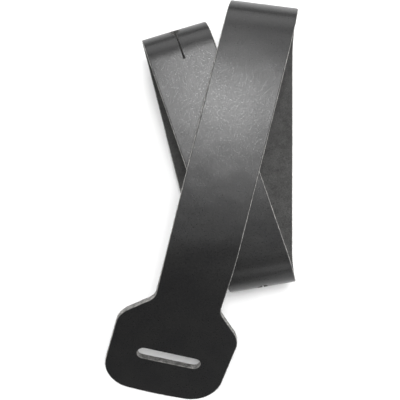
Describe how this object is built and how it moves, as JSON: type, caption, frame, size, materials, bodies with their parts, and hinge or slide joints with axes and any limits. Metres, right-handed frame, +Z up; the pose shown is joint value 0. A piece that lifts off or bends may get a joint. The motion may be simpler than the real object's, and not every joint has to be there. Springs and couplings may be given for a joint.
{
  "type": "instrument strap",
  "caption": "Coiled leather instrument strap with a slotted paddle end and keyhole slits for a strap button.",
  "frame": {"origin": "centre of the coil's footprint on the surface it lies on", "axes": "+Z up off the surface, +Y from the paddle end towards the top bend, along the coil's length"},
  "size_m": [0.1346, 0.2815, 0.0525],
  "materials": {
    "strap_leather": "satin black grain, matte flesh side"
  },
  "bodies": {
    "back": {"back_run": "strap_leather", "top_bend_1": "strap_leather", "bottom_bend_1": "strap_leather"},
    "top_curl_a": {"top_bend_2": "strap_leather"},
    "top_curl_b": {"top_bend_3": "strap_leather"},
    "front_upper": {"top_bend_4": "strap_leather", "front_lead": "strap_leather", "front_upper_run": "strap_leather"},
    "front_lower": {"front_lower_run": "strap_leather", "neck_upper": "strap_leather"},
    "paddle": {"neck_lower": "strap_leather", "paddle_tab": "strap_leather"},
    "bottom_curl_a": {"bottom_bend_2": "strap_leather"},
    "bottom_curl_b": {"bottom_bend_3": "strap_leather"},
    "inner": {"bottom_bend_4": "strap_leather", "inner_run": "strap_leather", "inner_bend_1": "strap_leather"},
    "inner_curl_a": {"inner_bend_2": "strap_leather"},
    "inner_curl_b": {"inner_bend_3": "strap_leather"},
    "tail": {"inner_bend_4": "strap_leather", "tail_run": "strap_leather"}
  },
  "joints": [
    {"name": "top_unroll_1", "type": "hinge", "parent": "back", "child": "top_curl_a", "pos_m": [0.04504, 0.12537, 0.00331], "axis": [-0.9923, 0.1236, 0], "range_deg": [0, 45], "stiffness_Nm_per_rad": 0.1},
    {"name": "top_unroll_2", "type": "hinge", "parent": "top_curl_a", "child": "top_curl_b", "pos_m": [0.04378, 0.13795, 0.02384], "axis": [-0.9923, 0.1236, 0], "range_deg": [0, 45.01], "stiffness_Nm_per_rad": 0.1},
    {"name": "top_unroll_3", "type": "hinge", "parent": "top_curl_b", "child": "front_upper", "pos_m": [0.03965, 0.12751, 0.04518], "axis": [-0.9923, 0.1236, 0], "range_deg": [0, 45.01], "stiffness_Nm_per_rad": 0.1},
    {"name": "front_flex", "type": "hinge", "parent": "front_upper", "child": "front_lower", "pos_m": [0.02095, 0.0529, 0.05241], "axis": [-0.9966, 0.0821, 0.0036], "range_deg": [0, 30], "stiffness_Nm_per_rad": 0.1},
    {"name": "paddle_flex", "type": "hinge", "parent": "front_lower", "child": "paddle", "pos_m": [-0.00076, -0.03385, 0.0511], "axis": [-0.9992, -0.04, 0.0036], "range_deg": [0, 40], "stiffness_Nm_per_rad": 0.1},
    {"name": "bottom_unroll_1", "type": "hinge", "parent": "back", "child": "bottom_curl_a", "pos_m": [0.04417, -0.05269, 0.0132], "axis": [0.9863, 0.165, 0], "range_deg": [0, 8.11], "stiffness_Nm_per_rad": 0.1},
    {"name": "bottom_unroll_2", "type": "hinge", "parent": "bottom_curl_a", "child": "bottom_curl_b", "pos_m": [0.04037, -0.05035, 0.03409], "axis": [0.9863, 0.165, 0], "range_deg": [0, 8.11], "stiffness_Nm_per_rad": 0.1},
    {"name": "bottom_unroll_3", "type": "hinge", "parent": "bottom_curl_b", "child": "inner", "pos_m": [0.03704, -0.04137, 0.04093], "axis": [0.9863, 0.165, 0], "range_deg": [0, 8.11], "stiffness_Nm_per_rad": 0.1},
    {"name": "inner_unroll_1", "type": "hinge", "parent": "inner", "child": "inner_curl_a", "pos_m": [-0.01922, 0.12067, 0.02581], "axis": [0.9581, 0.2865, 0], "range_deg": [0, 2.03], "stiffness_Nm_per_rad": 0.1},
    {"name": "inner_unroll_2", "type": "hinge", "parent": "inner_curl_a", "child": "inner_curl_b", "pos_m": [-0.01896, 0.11829, 0.01475], "axis": [0.9581, 0.2865, 0], "range_deg": [0, 2.03], "stiffness_Nm_per_rad": 0.1},
    {"name": "inner_unroll_3", "type": "hinge", "parent": "inner_curl_b", "child": "tail", "pos_m": [-0.01697, 0.11012, 0.00718], "axis": [0.9581, 0.2865, 0], "range_deg": [0, 2.03], "stiffness_Nm_per_rad": 0.1}
  ],
  "couplings": [
    {"joint": "top_unroll_2", "follows": "top_unroll_1", "ratio": 1},
    {"joint": "top_unroll_3", "follows": "top_unroll_1", "ratio": 1},
    {"joint": "bottom_unroll_1", "follows": "top_unroll_1", "ratio": 0.18},
    {"joint": "bottom_unroll_2", "follows": "top_unroll_1", "ratio": 0.18},
    {"joint": "bottom_unroll_3", "follows": "top_unroll_1", "ratio": 0.18},
    {"joint": "inner_unroll_1", "follows": "top_unroll_1", "ratio": 0.045},
    {"joint": "inner_unroll_2", "follows": "top_unroll_1", "ratio": 0.045},
    {"joint": "inner_unroll_3", "follows": "top_unroll_1", "ratio": 0.045}
  ]
}
